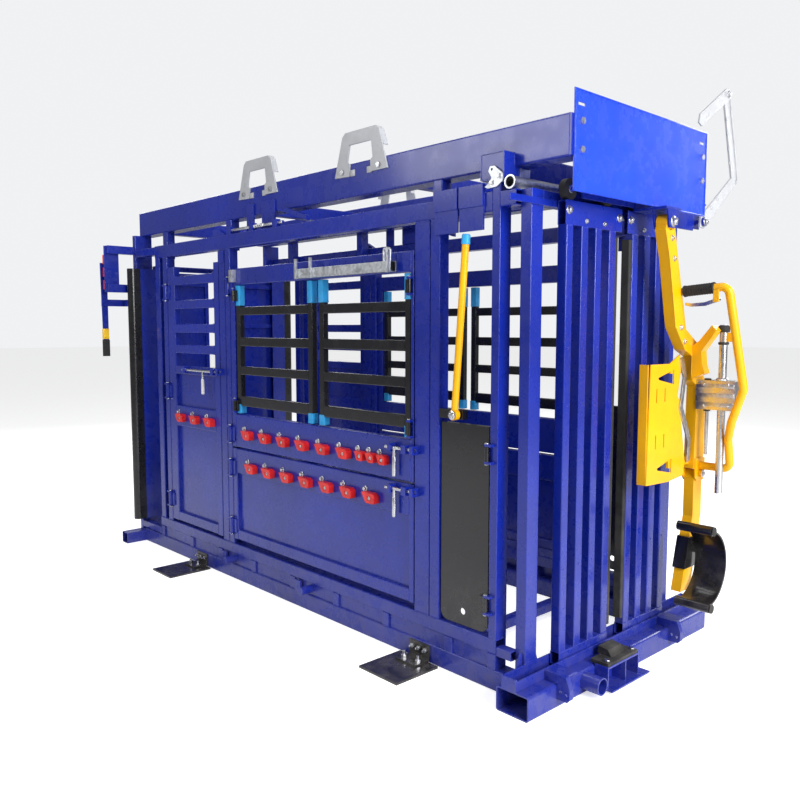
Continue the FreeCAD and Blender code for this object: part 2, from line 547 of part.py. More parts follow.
ARM = strip([((72, 1912), (150, 1926)), ((112, 1797), (187, 1789)), ((180, 1506), (274, 1494)),
             ((268, 1405), (385, 1430)), ((348, 1372), (433, 1400))], RX0, RX1)
ARM += strip([((348, 1372), (433, 1400)), ((350, 1262), (452, 1285)), ((392, 1240), (474, 1240)),
              ((385, 860), (475, 860))], RX0, RX1)
ARM.append(plate("y", [(RX1, 1420), (1893, 1442), (1950, 1512), (1972, 1490), (1906, 1397), (1912, 1339), (1925, 1300), (RX1, 1275)], 332, 382))
ARM.append(ring((RX0, 112, 1946), (1, 0, 0), 34, 12.08, 50).cut(box(RX0 - 5, RX1 + 5, 20, 220, 1800, 1916)))
hub = ARM[-1]
ARM[0] = ARM[0].fuse(plate("x", [(72, 1912), (150, 1926), (140, 1940), (84, 1940)], RX0, RX1)).cut(
    cyl((RX0 - 1, 112, 1946), (1, 0, 0), 34, 52))
# two cheek plates carry the pivot of the nose bar
for xx in (RX0 - 8, RX1):
    c = plate("x", [(388, 905), (474, 905), (474, 818), (462, 802), (400, 802), (388, 818)], xx, xx + 8)
    ARM.append(c.cut(cyl((xx - 1, 430, 836), (1, 0, 0), 9.5, 10)))
add("restraint_arm", ARM)
# hinge bracket of the restraint on the frame
RB = box(1723, 1876, 50, 175, 1996, 2006).fuse(box(1723, 1733, 50, 175, 2006, 2055))
for xx in (RX0 - 12, RX1 + 4):
    RB = RB.fuse(plate("x", [(66, 1996), (158, 1996), (140, 1920), (84, 1920)], xx, xx + 8))
RB = RB.fuse(cyl((RX0 - 12, 112, 1946), (1, 0, 0), 12, 74))
add("restraint_bracket", RB)

# bent, louvred plate
PL = plate("x", [(6, 828), (20, 1345), (180, 1345), (268, 1384), (276, 1300), (256, 1200), (272, 1180), (310, 1015),
                 (336, 897), (326, 836), (190, 822)], RX0 + 24, RX0 + 30)
for (ya, yb, zz) in ((84, 218, 1284), (93, 217, 890)):
    PL = PL.cut(plate("x", [(ya, zz + 3), (yb, zz + 34), (yb, zz - 30), (ya + 4, zz - 6)], RX0 + 20, RX0 + 34))
for zz in (1180, 980):
    for yy in (70, 140):
        PL = PL.cut(box(RX0 + 20, RX0 + 34, yy, yy + 8, zz, zz + 60))
lip = box(RX0 - 16, RX0 + 24, 6, 12, 828, 1345)
PL = [PL, lip]
PL.append(box(RX0 + 12, RX0 + 24, 200, 385, 880, 920))
PL.append(plate("x", [(200, 1300), (300, 1300), (300, 1340), (200, 1340)], RX0 + 12, RX0 + 24))
add("restraint_plate", PL)
cur = [(284, 1372), (318, 1290), (290, 1150), (330, 1080), (372, 1000), (370, 900)]
cur2 = [(q[0] - 26, q[1] - 8) for q in cur]
CB = plate("x", cur + cur2[::-1], RX0 + 30, RX0 + 38)
for q in ARM[:9]:
    CB = CB.cut(q)
add("restraint_bar", [q for q in CB.Solids if q.Volume > 500])

# handle loop: out along X, down, and back to the arm
HB = bent([(RX1, 236, 1658), (2062, 240, 1674), (2104, 300, 1300), (2106, 320, 1240), (2040, 360, 1090),
           (2010, 400, 1010), (2010, 430, 872), (RX1 + 8, 430, 872)], 18, 34, 15).cut(ARM[1])
add("restraint_handle", HB)
gdir = V(2062 - RX1, 4, 16).normalize()
g1 = Part.makeCylinder(23, 128, V(RX1, 236, 1658) + gdir * 10, gdir)
g1 = g1.cut(Part.makeCylinder(18, 150, V(RX1, 236, 1658), gdir))
add("restraint_grip", g1)
# squeeze trigger under the grip
TR = plate("y", [(1874, 1610), (1900, 1606), (1960, 1610), (2000, 1622), (2020, 1630), (2022, 1612), (1965, 1594),
                 (1900, 1592), (1872, 1598)], 236, 242)
TR = TR.fuse(ring((2016, 230, 1621), (0, 1, 0), 11, 5.08, 18))
TR = TR.cut(cyl((2016, 220, 1621), (0, 1, 0), 5.08, 40))
add("restraint_trigger", TR)
tb = box(2004, 2028, 222, 228, 1609, 1675).fuse(cyl((2016, 222, 1621), (0, 1, 0), 5, 32))
add("restraint_brackets", tb.cut(Part.makeCylinder(18, 400, V(RX1, 236, 1658), gdir)).cut(HB).Solids[0])

# friction lock: body on the arm, sliding tube through it and the thin rod beside it
add("friction_lock", [
    box(RX1, 2040, 382, 440, 1136, 1268).cut(cyl((1974, 400, 1100), (0, 0, 1), 17.0, 200)).cut(
        cyl((1908, 400, 1100), (0, 0, 1), 8, 200)),
    ring((1974, 400, 762), (0, 0, 1), 17, 13, 752),
    cyl((1908, 400, 930), (0, 0, 1), 8, 400 - 60)])
add("restraint_brackets", [box(1950, 2040, 392, 408, 1440, 1480).cut(cyl((1974, 400, 1400), (0, 0, 1), 17, 120)).Solids[-1]])

# nose bar: post, sleeve and half-round scoop with two rollers
NX0, NX1 = RX0 + 1, RX1 - 1
top = plate("x", [(412, 848), (448, 848), (468, 815), (470, 640), (392, 640), (392, 815)], NX0, NX1)
top = top.fuse(cyl((RX0 - 12, 430, 836), (1, 0, 0), 9.42, RX1 - RX0 + 24))
for xx in (RX0 - 22, RX1 + 9):
    top = top.fuse(cyl((xx, 430, 836), (1, 0, 0), 17, 13))
low = plate("x", [(392, 640), (470, 640), (388, 300), (300, 300)], NX0, NX1)
add("nose_post", top, low)
sl = plate("x", [(318, 404), (424, 404), (452, 545), (356, 545)], NX0 - 6, NX1 + 6).cut(low)
NS0 = [q for q in sl.Solids if q.Volume > 500]
SX0, SX1 = 1876.0, 2020.0
cy, cz, ro, ri = 236.0, 451.0, 172.0, 164.0
sc = ring((SX0, cy, cz), (1, 0, 0), ro, ri, SX1 - SX0).common(box(SX0 - 1, SX1 + 1, 256, 600, 0, 900))
NS = NS0 + list(sc.Solids)
for sgn in (1, -1):
    r = cyl((SX0 - 8, 248, cz + sgn * 172), (1, 0, 0), 21, SX1 - SX0 + 16)
    NS.append(r.cut(sc))
# bracket between the post's sleeve and the scoop
NS.append(plate("x", [(345, 470), (400, 470), (430, 545), (375, 545)], NX1 + 6, SX0 + 6).cut(
    cyl((SX0 - 40, cy, cz), (1, 0, 0), ri, 300)).cut(sc))
add("nose_scoop", NS)

# ---------------------------------------------------------------- tail gate


def tail_panel():
    G = [box(-1728, -1724, -632, -60, 180, 1890), box(-1724, -1700, -86, -60, 180, 1890)]
    r = ring((-1710, -636, 165), (0, 0, 1), 34, 30, 1740)
    r = r.cut(box(-1800, -1650, -632, -550, 100, 2000)).fuse(
        [box(-1744, -1740, -632, -596, 165, 1905), box(-1680, -1676, -632, -480, 165, 1905)])
    r = r.cut(box(-1729, -1723, -640, -590, 179, 1891)).removeSplitter()
    G += r.Solids
    for z in (300, 900, 1500, 1800):
        G.append(box(-1724, -1700, -560, -86, z, z + 30))
        G.append(box(-1724, -1680, -600, -580, z, z + 30))
    return G


TG = tail_panel()
add("tail_gate_near", TG)
add("tail_gate_far", [mir(q) for q in solids(TG)])
add("tail_link", box(-1850, -1836, -800, -628, 1650, 1696), box(-1836, -1744, -628 - 14, -628, 1650, 1696))
TK = [box(-1800, -1760, -780, YO, 2005, 2058), box(-1800, -1760, -780, YO, 1744, 1798),
      box(-1810, -1800, -790, -690, 1744, 2058), box(-1836, -1810, -740, -700, 1900, 1950)]
# guides of the sliding tail gate, top and bottom
TK += [box(-1745, -1670, -470, 470, 1925, 1931), box(-1745, -1739, -470, 470, 1900, 1925),
       box(-1745, -1701, -593, 593, 75, 81), box(-1745, -1739, -543, 543, 81, 150)]
add("tail_bracket", TK)
add("friction_pads", [box(-1836, -1810, -788, -764, z, z + 62) for z in (1765, 1850, 1935)])
add("tail_lever", plate("x", [(-798, 1945), (-752, 1945), (-752, 1420), (-790, 1420)], -1862, -1854).cut(
    cyl((-1863, -775, 1925), (1, 0, 0), 8.08, 12)))
add("door_fixings", cyl((-1866, -775, 1925), (1, 0, 0), 8, 56))
add("tail_grip", box(-1868, -1848, -793, -749, 1306, 1420))

# ---------------------------------------------------------------- write
for name, shapes in nodes.items():
    comp = Part.makeCompound([s for s in shapes])
    comp.translate(V(OX, OY, 0))
    comp.exportStep("parts/%s.step" % name)
print(len(nodes), "nodes", sum(len(v) for v in nodes.values()), "solids")
allb = Part.makeCompound([s for v in nodes.values() for s in v]).BoundBox
print("layout box", [round(v, 2) for v in (allb.XMin, allb.XMax, allb.YMin, allb.YMax, allb.ZMin, allb.ZMax)])
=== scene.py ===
import bpy, bmesh, json, math
from mathutils import Vector, Matrix


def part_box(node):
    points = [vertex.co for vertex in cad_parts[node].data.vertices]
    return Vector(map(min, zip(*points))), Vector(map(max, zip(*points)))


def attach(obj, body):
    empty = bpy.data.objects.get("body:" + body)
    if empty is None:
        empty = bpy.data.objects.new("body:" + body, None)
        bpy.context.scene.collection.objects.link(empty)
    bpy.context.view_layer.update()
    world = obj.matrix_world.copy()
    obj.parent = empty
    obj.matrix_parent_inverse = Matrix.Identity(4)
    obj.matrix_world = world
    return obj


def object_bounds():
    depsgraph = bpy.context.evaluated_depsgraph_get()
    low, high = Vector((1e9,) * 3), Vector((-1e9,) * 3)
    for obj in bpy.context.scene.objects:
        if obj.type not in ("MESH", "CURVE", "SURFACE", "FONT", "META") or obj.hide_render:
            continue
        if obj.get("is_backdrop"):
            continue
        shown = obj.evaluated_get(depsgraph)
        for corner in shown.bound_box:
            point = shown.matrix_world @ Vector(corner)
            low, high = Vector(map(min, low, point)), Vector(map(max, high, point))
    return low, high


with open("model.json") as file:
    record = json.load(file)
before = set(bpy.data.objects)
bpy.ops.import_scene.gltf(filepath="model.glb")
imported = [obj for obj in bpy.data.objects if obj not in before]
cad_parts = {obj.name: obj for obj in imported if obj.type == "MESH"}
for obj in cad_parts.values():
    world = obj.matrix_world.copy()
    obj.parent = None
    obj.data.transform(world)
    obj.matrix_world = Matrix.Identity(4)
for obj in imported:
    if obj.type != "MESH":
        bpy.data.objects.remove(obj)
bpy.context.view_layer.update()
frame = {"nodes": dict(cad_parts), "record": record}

N = frame["nodes"]
for junk in ("Cube", "Light", "Camera"):
    o = bpy.data.objects.get(junk)
    if o is not None and o.name not in N:
        bpy.data.objects.remove(o)

# the layout numbers below are millimetres in the design's own axes; the shift
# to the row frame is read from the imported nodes
tg_lo, tg_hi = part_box("tail_grip")
gl_lo, gl_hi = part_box("gate_lever")
SX = tg_lo.x + 1.868
SY = gl_hi.y - 1.072


def D(x, y, z):
    return Vector((x / 1000.0 + SX, y / 1000.0 + SY, z / 1000.0))


YO, YI = -594.0, -534.0

# ------------------------------------------------------------------ camera
cam = bpy.data.cameras.new("Camera")
cam.sensor_width = 36.0
cam.lens = 35.78
cam.clip_end = 200.0
camo = bpy.data.objects.new("Camera", cam)
bpy.context.scene.collection.objects.link(camo)
camo.location = D(3579.5, -3040.0, 1500.0)
camo.rotation_euler = (math.radians(84.83), 0.0, math.radians(47.12))
bpy.context.scene.camera = camo

# ------------------------------------------------------------------ materials


def _nt(name):
    m = bpy.data.materials.new(name)
    m.use_nodes = True
    nt = m.node_tree
    for n in list(nt.nodes):
        nt.nodes.remove(n)
    out = nt.nodes.new("ShaderNodeOutputMaterial")
    b = nt.nodes.new("ShaderNodeBsdfPrincipled")
    nt.links.new(b.outputs[0], out.inputs[0])
    return m, nt, b


def _noise(nt, co, scale, detail=3.0, rough=0.55, stretch=None):
    n = nt.nodes.new("ShaderNodeTexNoise")
    n.inputs["Scale"].default_value = scale
    n.inputs["Detail"].default_value = detail
    n.inputs["Roughness"].default_value = rough
    if stretch:
        mp = nt.nodes.new("ShaderNodeMapping")
        mp.inputs["Scale"].default_value = stretch
        nt.links.new(co, mp.inputs["Vector"])
        nt.links.new(mp.outputs[0], n.inputs["Vector"])
    else:
        nt.links.new(co, n.inputs["Vector"])
    return n.outputs["Fac"]


def _range(nt, v, a, b, c, d):
    n = nt.nodes.new("ShaderNodeMapRange")
    n.clamp = True
    nt.links.new(v, n.inputs["Value"])
    for k, x in (("From Min", a), ("From Max", b), ("To Min", c), ("To Max", d)):
        n.inputs[k].default_value = x
    return n.outputs["Result"]


def _math(nt, op, a, b):
    n = nt.nodes.new("ShaderNodeMath")
    n.operation = op
    for i, x in enumerate((a, b)):
        if isinstance(x, (int, float)):
            n.inputs[i].default_value = x
        else:
            nt.links.new(x, n.inputs[i])
    return n.outputs[0]


def _mix(nt, f, a, b):
    n = nt.nodes.new("ShaderNodeMix")
    n.data_type = "RGBA"
    nt.links.new(f, n.inputs[0])
    for i, x in ((6, a), (7, b)):
        if isinstance(x, (tuple, list)):
            n.inputs[i].default_value = tuple(x)[:3] + (1.0,)
        else:
            nt.links.new(x, n.inputs[i])
    return n.outputs[2]


def _base(nt, edge=0.003):
    tc = nt.nodes.new("ShaderNodeTexCoord")
    co = tc.outputs["Object"]
    bv = nt.nodes.new("ShaderNodeBevel")
    bv.samples = 4
    bv.inputs["Radius"].default_value = edge
    g = nt.nodes.new("ShaderNodeNewGeometry")
    dt = nt.nodes.new("ShaderNodeVectorMath")
    dt.operation = "DOT_PRODUCT"
    nt.links.new(bv.outputs[0], dt.inputs[0])
    nt.links.new(g.outputs["Normal"], dt.inputs[1])
    mask = _range(nt, dt.outputs["Value"], 0.86, 0.985, 1.0, 0.0)
    sep = nt.nodes.new("ShaderNodeSeparateXYZ")
    nt.links.new(co, sep.inputs[0])
    return co, bv.outputs[0], mask, sep.outputs["Z"]


def _bump(nt, b, height, normal, strength, dist):
    n = nt.nodes.new("ShaderNodeBump")
    n.inputs["Strength"].default_value = strength
    n.inputs["Distance"].default_value = dist
    nt.links.new(height, n.inputs["Height"])
    nt.links.new(normal, n.inputs["Normal"])
    nt.links.new(n.outputs[0], b.inputs["Normal"])


def paint(name, col, rough=0.30, coat=0.5, light=1.25, wear=(0.25, 0.26, 0.28), worn=0.7,
          dust=0.35, peel=0.22, painted_edge_highlight=1.7):
    m, nt, b = _nt(name)
    co, nrm, edge, z = _base(nt)
    big = _noise(nt, co, 1.7, 3)
    mid = _noise(nt, co, 14.0, 5, 0.6)
    fine = _noise(nt, co, 260.0, 2)
    spots = _noise(nt, co, 95.0, 4, 0.7)
    dark = tuple(c * 0.84 for c in col)
    lite = tuple(min(c * light, 0.95) for c in col)
    c = _mix(nt, _range(nt, big, 0.3, 0.7, 0, 1), dark, lite)
    c = _mix(nt, _range(nt, mid, 0.45, 0.75, 0.0, 0.22), c, tuple(min(q * 0.6 + 0.012, 1) for q in col))
    # painted highlight: the edge is made a little lighter, as if it caught the light
    c = _mix(nt, _math(nt, "MULTIPLY", edge, 0.38), c, tuple(min(q * painted_edge_highlight + 0.03, 0.95) for q in col))
    # chips: edge and speckle together
    chip = _math(nt, "MULTIPLY", edge, _range(nt, spots, 0.60, 0.66, 0.0, worn))
    c = _mix(nt, chip, c, wear)
    # yard dust, thicker low down and in patches
    if dust > 0:
        low = _range(nt, z, 0.0, 0.55, dust, 0.0)
        d = _math(nt, "MULTIPLY", low, _range(nt, mid, 0.35, 0.7, 0.15, 1.0))
        c = _mix(nt, d, c, (0.30, 0.27, 0.24))
    nt.links.new(c, b.inputs["Base Color"])
    r = _range(nt, mid, 0.3, 0.75, rough - 0.06, rough + 0.12)
    r = _math(nt, "ADD", r, _math(nt, "MULTIPLY", chip, 0.25))
    nt.links.new(r, b.inputs["Roughness"])
    b.inputs["Coat Weight"].default_value = coat
    b.inputs["Coat Roughness"].default_value = 0.12
    b.inputs["Specular IOR Level"].default_value = 0.35
    _bump(nt, b, _math(nt, "ADD", _math(nt, "MULTIPLY", fine, 0.5), _math(nt, "MULTIPLY", mid, 0.8)), nrm, peel, 0.0006)
    return m


def metal(name, col, rough=0.28, spangle=0.0, streak=0.0, wearcol=(0.22, 0.16, 0.11), dirt=0.25):
    m, nt, b = _nt(name)
    co, nrm, edge, z = _base(nt, 0.002)
    mid = _noise(nt, co, 18.0, 5, 0.6)
    if spangle:
        v = nt.nodes.new("ShaderNodeTexVoronoi")
        v.inputs["Scale"].default_value = 85.0
        nt.links.new(co, v.inputs["Vector"])
        sp = nt.nodes.new("ShaderNodeSeparateColor")
        nt.links.new(v.outputs["Color"], sp.inputs[0])
        f = _math(nt, "MULTIPLY", sp.outputs[0], spangle)
    else:
        f = _math(nt, "MULTIPLY", _noise(nt, co, 60.0, 2, 0.5, (1.0, 1.0, 14.0)), 0.6)
    c = _mix(nt, f, tuple(q * 0.78 for q in col), tuple(min(q * 1.2, 0.97) for q in col))
    c = _mix(nt, _range(nt, mid, 0.58, 0.82, 0.0, dirt), c, wearcol)
    nt.links.new(c, b.inputs["Base Color"])
    b.inputs["Metallic"].default_value = 1.0
    r = _math(nt, "ADD", _range(nt, mid, 0.3, 0.75, rough - 0.08, rough + 0.12), _math(nt, "MULTIPLY", f, 0.12))
    nt.links.new(r, b.inputs["Roughness"])
    _bump(nt, b, _math(nt, "ADD", mid, _noise(nt, co, 420.0, 2)), nrm, 0.18, 0.0004)
    return m


def soft(name, col, rough=0.7, grain=380.0, depth=0.3, dust=0.3, spec=0.4, ribs=0.0):
    m, nt, b = _nt(name)
    co, nrm, edge, z = _base(nt)
    mid = _noise(nt, co, 11.0, 5, 0.62)
    c = _mix(nt, _range(nt, mid, 0.3, 0.75, 0, 1), tuple(q * 0.8 for q in col), tuple(min(q * 1.5 + 0.004, 1) for q in col))
    # painted highlight: edges made lighter, as if they caught the light
    c = _mix(nt, _math(nt, "MULTIPLY", edge, 0.30), c, tuple(min(q * 2.2 + 0.02, 1) for q in col))
    if dust > 0:
        d = _math(nt, "MULTIPLY", _range(nt, z, 0.0, 0.9, dust, 0.03), _range(nt, mid, 0.4, 0.72, 0.1, 1.0))
        c = _mix(nt, d, c, (0.26, 0.24, 0.21))
    nt.links.new(c, b.inputs["Base Color"])
    nt.links.new(_range(nt, mid, 0.3, 0.75, rough - 0.08, rough + 0.10), b.inputs["Roughness"])
    b.inputs["Specular IOR Level"].default_value = spec
    h = _noise(nt, co, grain, 3, 0.6)
    if ribs:
        w = nt.nodes.new("ShaderNodeTexWave")
        w.wave_type = "BANDS"
        w.bands_direction = "X"
        w.inputs["Scale"].default_value = ribs
        nt.links.new(co, w.inputs["Vector"])
        h = _math(nt, "ADD", h, _math(nt, "MULTIPLY", w.outputs["Fac"], 1.4))
    _bump(nt, b, h, nrm, depth, 0.0008)
    return m


BLUE = paint("blue_paint", (0.0055, 0.0185, 0.270), rough=0.27, coat=0.42, worn=0.30, dust=0.16, peel=0.16, painted_edge_highlight=2.8)
SIGN = paint("sign_paint", (0.008, 0.050, 0.56), rough=0.24, coat=0.35, worn=0.2, dust=0.0, peel=0.10)
BLACK = paint("black_paint", (0.005, 0.005, 0.007), rough=0.22, coat=0.45, light=1.5, wear=(0.16, 0.16, 0.17), worn=0.35, dust=0.2)
SATIN = paint("black_satin", (0.005, 0.005, 0.006), rough=0.20, coat=0.5, light=1.4, wear=(0.12, 0.12, 0.13), worn=0.4, dust=0.3)
YELLOW = paint("yellow_paint", (0.90, 0.44, 0.0), rough=0.34, coat=0.12, light=1.05, wear=(0.20, 0.17, 0.13), worn=0.5, dust=0.08, painted_edge_highlight=1.04)
PALE = paint("pale_plate", (0.44, 0.45, 0.475), rough=0.30, coat=0.25, light=1.18, wear=(0.34, 0.33, 0.31), worn=0.8, dust=0.0, painted_edge_highlight=1.2)
ZINC = metal("bright_zinc", (0.66, 0.67, 0.70), rough=0.24)
GALV = metal("galvanised", (0.55, 0.57, 0.60), rough=0.34, spangle=0.8, dirt=0.18)
RUBBER = soft("rubber", (0.014, 0.014, 0.015), rough=0.74, depth=0.35)
GRIP = soft("foam_grip", (0.016, 0.016, 0.017), rough=0.82, grain=700.0, depth=0.5, dust=0.0, ribs=75.0)
RED = soft("moulded_red", (0.62, 0.010, 0.006), rough=0.30, grain=240.0, depth=0.12, dust=0.12, spec=0.55)
CYAN = soft("cyan_sleeve", (0.012, 0.27, 0.58), rough=0.42, grain=300.0, depth=0.15, dust=0.0, spec=0.5)
YSLEEVE = soft("yellow_sleeve", (0.86, 0.46, 0.004), rough=0.42, grain=300.0, depth=0.15, dust=0.0, spec=0.5)
WHITE = soft("white_cap", (0.62, 0.62, 0.60), rough=0.40, grain=300.0, depth=0.12, dust=0.0, spec=0.5)



def two_tone(name, a, b, y_edge):
    """A speckled near-black where |y| from the centre is past y_edge, else a; b is not used."""
    m = a.copy()
    m.name = name
    nt = m.node_tree
    bs = [n for n in nt.nodes if n.type == "BSDF_PRINCIPLED"][0]
    tc = [n for n in nt.nodes if n.type == "TEX_COORD"][0]
    src = bs.inputs["Base Color"].links[0].from_socket
    sep = nt.nodes.new("ShaderNodeSeparateXYZ")
    nt.links.new(tc.outputs["Object"], sep.inputs[0])
    d = _math(nt, "ABSOLUTE", _math(nt, "SUBTRACT", sep.outputs["Y"], SY), 0.0)
    f = _range(nt, d, y_edge - 0.0005, y_edge + 0.0005, 0.0, 1.0)
    speck = _noise(nt, tc.outputs["Object"], 30.0, 4)
    dark = _mix(nt, _range(nt, speck, 0.3, 0.75, 0.0, 1.0), (0.004, 0.004, 0.005), (0.010, 0.010, 0.012))
    nt.links.new(_mix(nt, f, src, dark), bs.inputs["Base Color"])
    return m


TAIL = two_tone("tail_gate_paint", BLUE, BLACK, 0.593)
by_slot = {"blue": BLUE, "blue_sign": SIGN, "black_paint": BLACK, "rubber": RUBBER, "red": RED, "yellow": YELLOW,
           "zinc": ZINC, "galvanised": GALV, "pale_grey": PALE}
special = {"tail_grip": GRIP, "restraint_grip": GRIP, "nose_scoop": SATIN, "tail_gate_near": TAIL, "tail_gate_far": TAIL,
           "lever_brackets": BLACK}
slots = {s["node"]: s.get("material_slot") for s in frame["record"]["subparts"]}
for name, o in N.items():
    mat = special.get(name) or by_slot.get(slots.get(name)) or BLUE
    if not o.material_slots:
        o.data.materials.append(mat)
    for s in o.material_slots:
        s.material = mat

# ------------------------------------------------------------------ mesh help


def make(name, bm, mat, body, smooth=True, angle=35.0):
    bmesh.ops.remove_doubles(bm, verts=bm.verts, dist=1e-6)
    bmesh.ops.recalc_face_normals(bm, faces=bm.faces)
    me = bpy.data.meshes.new(name)
    if smooth:
        lim = math.radians(angle)
        for f in bm.faces:
            f.smooth = True
        for e in bm.edges:
            if len(e.link_faces) == 2 and e.calc_face_angle(0.0) > lim:
                e.smooth = False
    bm.to_mesh(me)
    bm.free()
    me.materials.append(mat)
    o = bpy.data.objects.new(name, me)
    bpy.context.scene.collection.objects.link(o)
    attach(o, body)
    return o


def add_box(bm, lo, hi, bevel=0.0012, seg=2):
    """Bevelled block between two corners, row frame metres."""
    c = (lo + hi) / 2
    s = hi - lo
    r = bmesh.ops.create_cube(bm, size=1.0)
    vs = r["verts"]
    for v in vs:
        v.co = Vector((v.co.x * s.x + c.x, v.co.y * s.y + c.y, v.co.z * s.z + c.z))
    es = list({e for v in vs for e in v.link_edges})
    bmesh.ops.bevel(bm, geom=es, offset=min(bevel, 0.45 * min(abs(q) for q in s)), segments=seg, profile=0.5, affect="EDGES")


def frame_of(d):
    d = d.normalized()
    a = Vector((0, 0, 1)) if abs(d.z) < 0.9 else Vector((1, 0, 0))
    u = d.cross(a).normalized()
    return d, u, d.cross(u).normalized()


def add_lathe(bm, p, d, prof, seg=28, closed=True, hexed=0):
    """Turned shape: prof is [(distance along d, radius)] in metres."""
    d, u, w = frame_of(d)
    rings = []
    for t, r in prof:
        if r < 1e-6:
            rings.append([bm.verts.new(p + d * t)])
        else:
            rings.append([bm.verts.new(p + d * t + (u * math.cos(2 * math.pi * k / seg) + w * math.sin(2 * math.pi * k / seg)) * r)
                          for k in range(seg)])
    for a, b in zip(rings, rings[1:]):
        for k in range(seg):
            k2 = (k + 1) % seg
            if len(a) == 1 and len(b) == 1:
                continue
            if len(a) == 1:
                bm.faces.new((a[0], b[k], b[k2]))
            elif len(b) == 1:
                bm.faces.new((a[k], b[0], a[k2]))
            else:
                bm.faces.new((a[k], b[k], b[k2], a[k2]))


def add_hexbolt(bm, p, d, af=0.019, h=0.009, washer=0.0018):
    """Washer, hexagon head with its chamfer, and a shallow top."""
    R = af / math.sqrt(3)
    add_lathe(bm, p, d, [(0, 0), (0, R * 1.35), (washer * 0.7, R * 1.38), (washer, R * 1.30), (washer, 0)], 24)
    add_lathe(bm, p + d.normalized() * washer, d, [(0, 0), (0, R), (h * 0.82, R), (h, R * 0.86), (h, 0)], 6)
    add_lathe(bm, p + d.normalized() * (washer + h), d, [(0, 0), (0, R * 0.5), (0.0012, R * 0.46), (0.0012, 0)], 16)


def add_dome(bm, p, d, r, h):
    """Round head screw with a socket."""
    prof = [(0, 0), (0, r), (h * 0.35, r * 0.99), (h * 0.7, r * 0.82), (h * 0.92, r * 0.55), (h, r * 0.42),
            (h * 0.55, r * 0.40), (h * 0.5, 0)]
    add_lathe(bm, p, d, prof, 22)


def add_bead(bm, a, b, r=0.0035, seed=0):
    """Weld bead from a to b: overlapping ripples along the joint."""
    L = (b - a).length
    n = max(6, int(L / 0.0042))
    d, u, w = frame_of(b - a)
    rings = []
    for i in range(n + 1):
        t = i / n
        k = 0.84 + 0.16 * abs(math.sin(math.pi * (i * 0.5))) + 0.07 * math.sin(i * 2.39 + seed)
        e = min(1.0, min(i, n - i) / 1.5 + 0.35)
        o = u * (0.0005 * math.sin(i * 1.7 + seed))
        rings.append([bm.verts.new(a + (b - a) * t + o + (u * math.cos(q) + w * math.sin(q)) * r * k * e)
                      for q in (2 * math.pi * j / 8 for j in range(8))])
    for p, q in zip(rings, rings[1:]):
        for j in range(8):
            bm.faces.new((p[j], q[j], q[(j + 1) % 8], p[(j + 1) % 8]))
    bm.faces.new(rings[0])
    bm.faces.new(rings[-1][::-1])


def add_sleeve(bm, lo, hi, t=0.0022, bevel=0.0016):
    """Square sleeve around a tube: four bevelled walls with rolled rims."""
    x0, y0, z0 = lo
    x1, y1, z1 = hi
    n = 5
    rim = 0.0012
    prof = []
    for k, (z, off) in enumerate(((z0, 0.0), (z0 + 0.003, t + rim), (z0 + 0.007, t), (z1 - 0.007, t), (z1 - 0.003, t + rim), (z1, 0.0))):
        ring = []
        r = 0.004
        for cx, cy, a0 in ((x1 + off - r, y1 + off - r, 0), (x0 - off + r, y1 + off - r, 90), (x0 - off + r, y0 - off + r, 180), (x1 + off - r, y0 - off + r, 270)):
            for j in range(n):
                a = math.radians(a0 + 90 * j / (n - 1))
                ring.append(bm.verts.new((cx + r * math.cos(a), cy + r * math.sin(a), z)))
        prof.append(ring)
    for p, q in zip(prof, prof[1:]):
        for j in range(len(p)):
            k = (j + 1) % len(p)
            bm.faces.new((p[j], q[j], q[k], p[k]))
    bm.faces.new(prof[0][::-1])
    bm.faces.new(prof[-1])


SIDES = (("near", 1), ("far", -1))


def S(side, x, y, z):
    return D(x, y * side, z)


# ------------------------------------------------------------------ grille sleeves
for nm, sd in SIDES:
    for gname, stiles in (("grille_tail", (-450, 242)), ("grille_head", (337, 973))):
        bm = bmesh.new()
        for a in stiles:
            for z0, z1 in ((1628, 1743), (1006, 1060)):
                p, q = S(sd, a, -590, z0), S(sd, a + 36, -556, z1)
                lo = Vector((min(p.x, q.x), min(p.y, q.y), min(p.z, q.z)))
                hi = Vector((max(p.x, q.x), max(p.y, q.y), max(p.z, q.z)))
                add_sleeve(bm, lo, hi)
        make("%s_%s_sleeves" % (nm, gname), bm, CYAN, "%s_%s" % (nm, gname))

# ------------------------------------------------------------------ side lever cap
a = math.radians(4.6)
dv = Vector((math.sin(a), 0, math.cos(a)))
p0 = D(1300, -611, 1136)
bm = bmesh.new()
add_lathe(bm, p0 + dv * 0.706, dv, [(0, 0.0152), (0, 0.0178), (0.003, 0.0186), (0.008, 0.0180), (0.032, 0.0180), (0.038, 0.0172),
                                   (0.0415, 0.0130), (0.0425, 0.0)], 32)
make("side_lever_cap", bm, CYAN, "side_lever")
bm = bmesh.new()
add_hexbolt(bm, D(1300, -628, 1136), Vector((0, -1, 0)), 0.024, 0.008)
make("side_lever_nut", bm, ZINC, "frame")

# ------------------------------------------------------------------ tail lever sleeve
bm = bmesh.new()
lo = D(-1864.5, -794.5, 1424)
hi = D(-1851.5, -750.0, 1496)
add_box(bm, lo, hi, 0.003, 3)
make("tail_lever_sleeve", bm, YSLEEVE, "tail_lever")
bm = bmesh.new()
for z in (1560, 1700, 1840):
    add_dome(bm, D(-1862, -775, z), Vector((-1, 0, 0)), 0.008, 0.0045)
make("tail_lever_rivets", bm, ZINC, "tail_lever")

